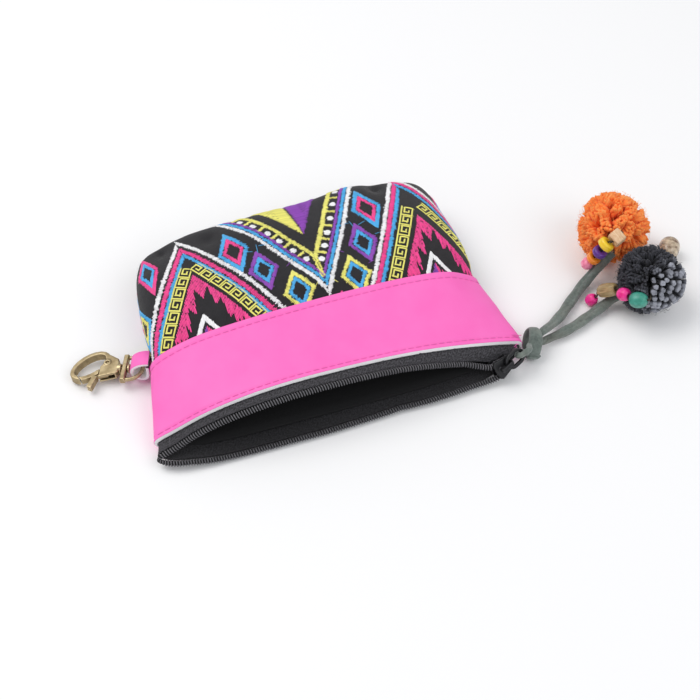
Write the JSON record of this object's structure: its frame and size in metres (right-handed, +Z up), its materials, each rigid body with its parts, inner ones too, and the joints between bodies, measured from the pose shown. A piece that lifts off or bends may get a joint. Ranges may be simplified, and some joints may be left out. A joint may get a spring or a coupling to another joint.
{
  "type": "embroidered coin purse",
  "caption": "Small zip pouch of black embroidered cotton with a pink leather mouth band, a brass swivel hook and a lace charm with wool pompoms and beads.",
  "frame": {"origin": "on the resting face under the middle of the pouch", "axes": "+X along the zip mouth towards the slider and charm, +Y from the mouth to the closed end, +Z up from the surface that the purse lies on"},
  "size_m": [0.2372, 0.1005, 0.0282],
  "materials": {
    "cloth": "black cotton with machine embroidery in pink, blue, purple, yellow and white",
    "leather": "hot-pink leather, fine grain, white at the cut edge",
    "lining": "black woven lining",
    "zip": "black woven tape and nylon coil",
    "slider": "black painted zip metal, worn at the edges",
    "brass": "antique brass plate, dark in the recesses",
    "suede": "grey-green suede lace",
    "wool_orange": "shaggy orange wool",
    "wool_grey": "shaggy charcoal wool with paler yarn ends",
    "thread": "dark waxed thread",
    "bead_wood": "pale turned wood",
    "bead_yellow": "yellow stained wood, lacquered",
    "bead_purple": "purple stained wood, lacquered",
    "bead_orange": "orange stained wood, lacquered",
    "bead_pink": "pink stained wood, lacquered",
    "bead_teal": "teal stained wood, lacquered",
    "bead_magenta": "magenta stained wood, lacquered",
    "bead_shell": "brown and cream polished wood"
  },
  "bodies": {
    "purse": {"cloth_front": "cloth", "cloth_back": "cloth", "band_front": "leather", "band_back": "leather", "hook_tab": "leather", "lining": "lining", "zip_tape_front": "zip", "zip_tape_back": "zip", "zip_coil_front": "zip", "zip_coil_back": "zip", "zip_slider": "slider", "zip_pull": "slider", "hook_eye": "brass", "cord_loop": "suede", "cord_knot": "suede", "cord_tail_orange": "suede", "cord_tail_grey": "suede", "pompom_orange": "wool_orange", "pompom_grey": "wool_grey", "bead_thread_orange": "thread", "bead_thread_grey": "thread", "bead_thread_shell": "thread", "bead_wood_tube": "bead_wood", "bead_tan": "bead_wood", "bead_yellow": "bead_yellow", "bead_purple": "bead_purple", "bead_orange": "bead_orange", "bead_pink": "bead_pink", "bead_teal": "bead_teal", "bead_magenta_near": "bead_magenta", "bead_magenta_far": "bead_magenta", "bead_shell": "bead_shell"},
    "hook": {"hook_body": "brass"},
    "lever": {"hook_lever": "brass"}
  },
  "joints": [
    {"name": "hook_swivel", "type": "hinge", "parent": "purse", "child": "hook", "pos_m": [-0.06936, -0.0028, 0.0041], "axis": [-0.912, 0.3966, -0.1045], "continuous": true},
    {"name": "lever_hinge", "type": "hinge", "parent": "hook", "child": "lever", "pos_m": [-0.07451, 0.00129, 0.00343], "axis": [0.0959, -0.0417, -0.9945], "range_deg": [0, 16], "stiffness_Nm_per_rad": 0.02}
  ]
}
